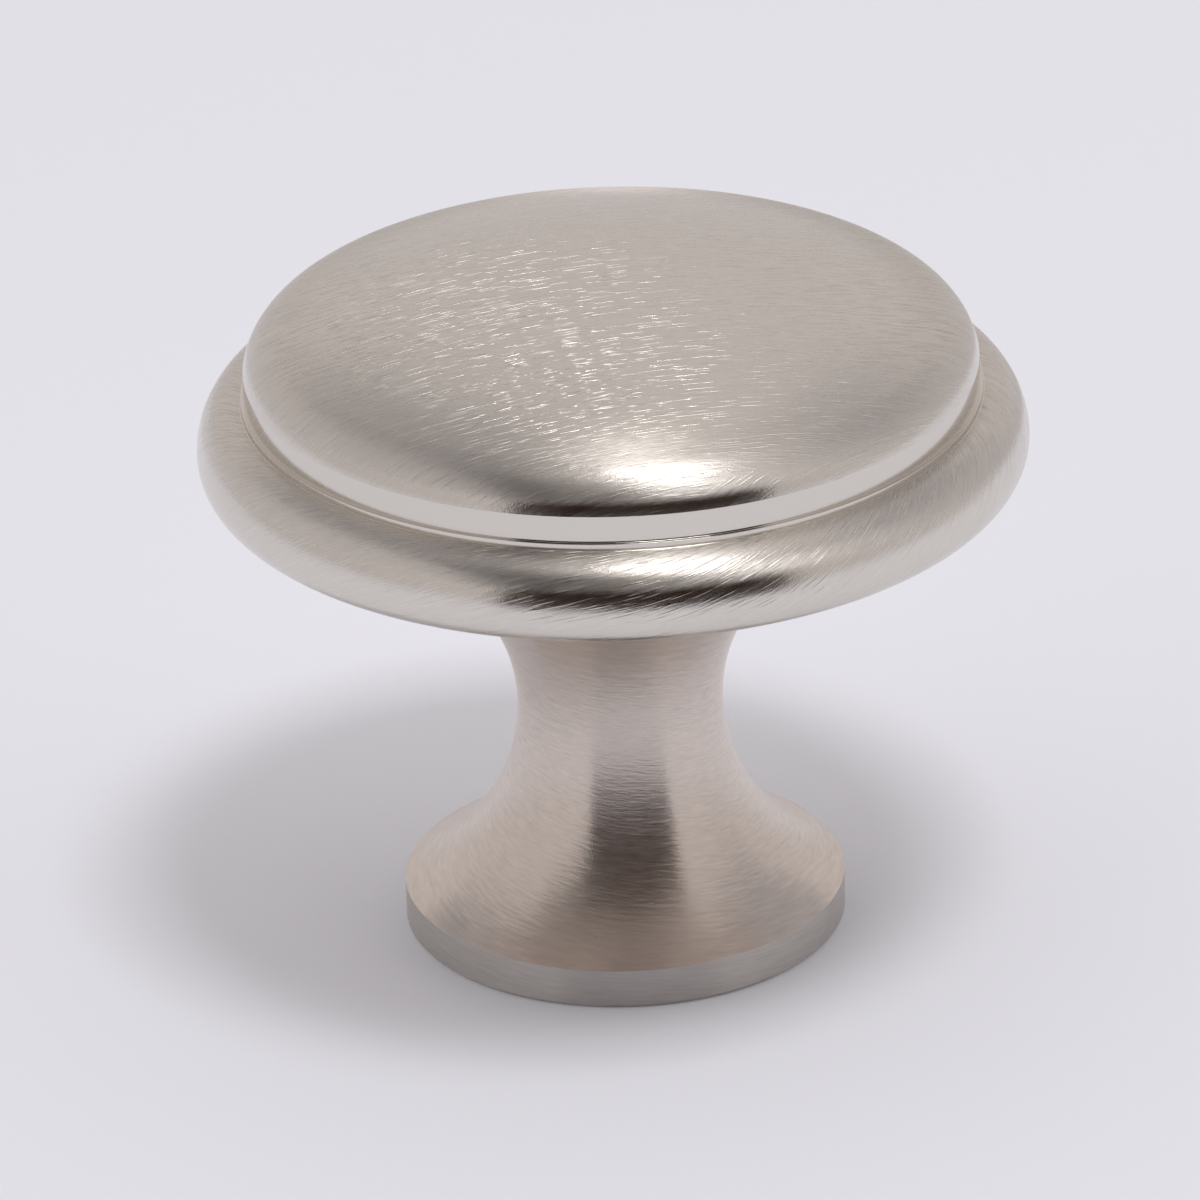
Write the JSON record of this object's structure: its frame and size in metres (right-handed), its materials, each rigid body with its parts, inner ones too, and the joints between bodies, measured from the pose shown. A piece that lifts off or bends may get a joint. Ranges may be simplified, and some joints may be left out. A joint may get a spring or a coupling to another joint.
{
  "type": "cabinet knob",
  "caption": "Round cabinet knob with a shallow domed cap, a stepped beaded rim and a waisted stem, tapped up its foot for a screw through the drawer front or door.",
  "frame": {"origin": "centre of the foot's flat face, which lies against the drawer front", "axes": "+Z along the knob's axis, from the drawer front out through the stem to the cap; the knob is round, so X and Y are free"},
  "size_m": [0.032, 0.032, 0.027],
  "materials": {
    "brushed_nickel": "zinc alloy casting, satin nickel plated, with long brush strokes across the cap, fine turned lines round the bead and stem, and a bright polished step between cap and bead"
  },
  "bodies": {
    "root": {"knob": "brushed_nickel"}
  },
  "joints": []
}
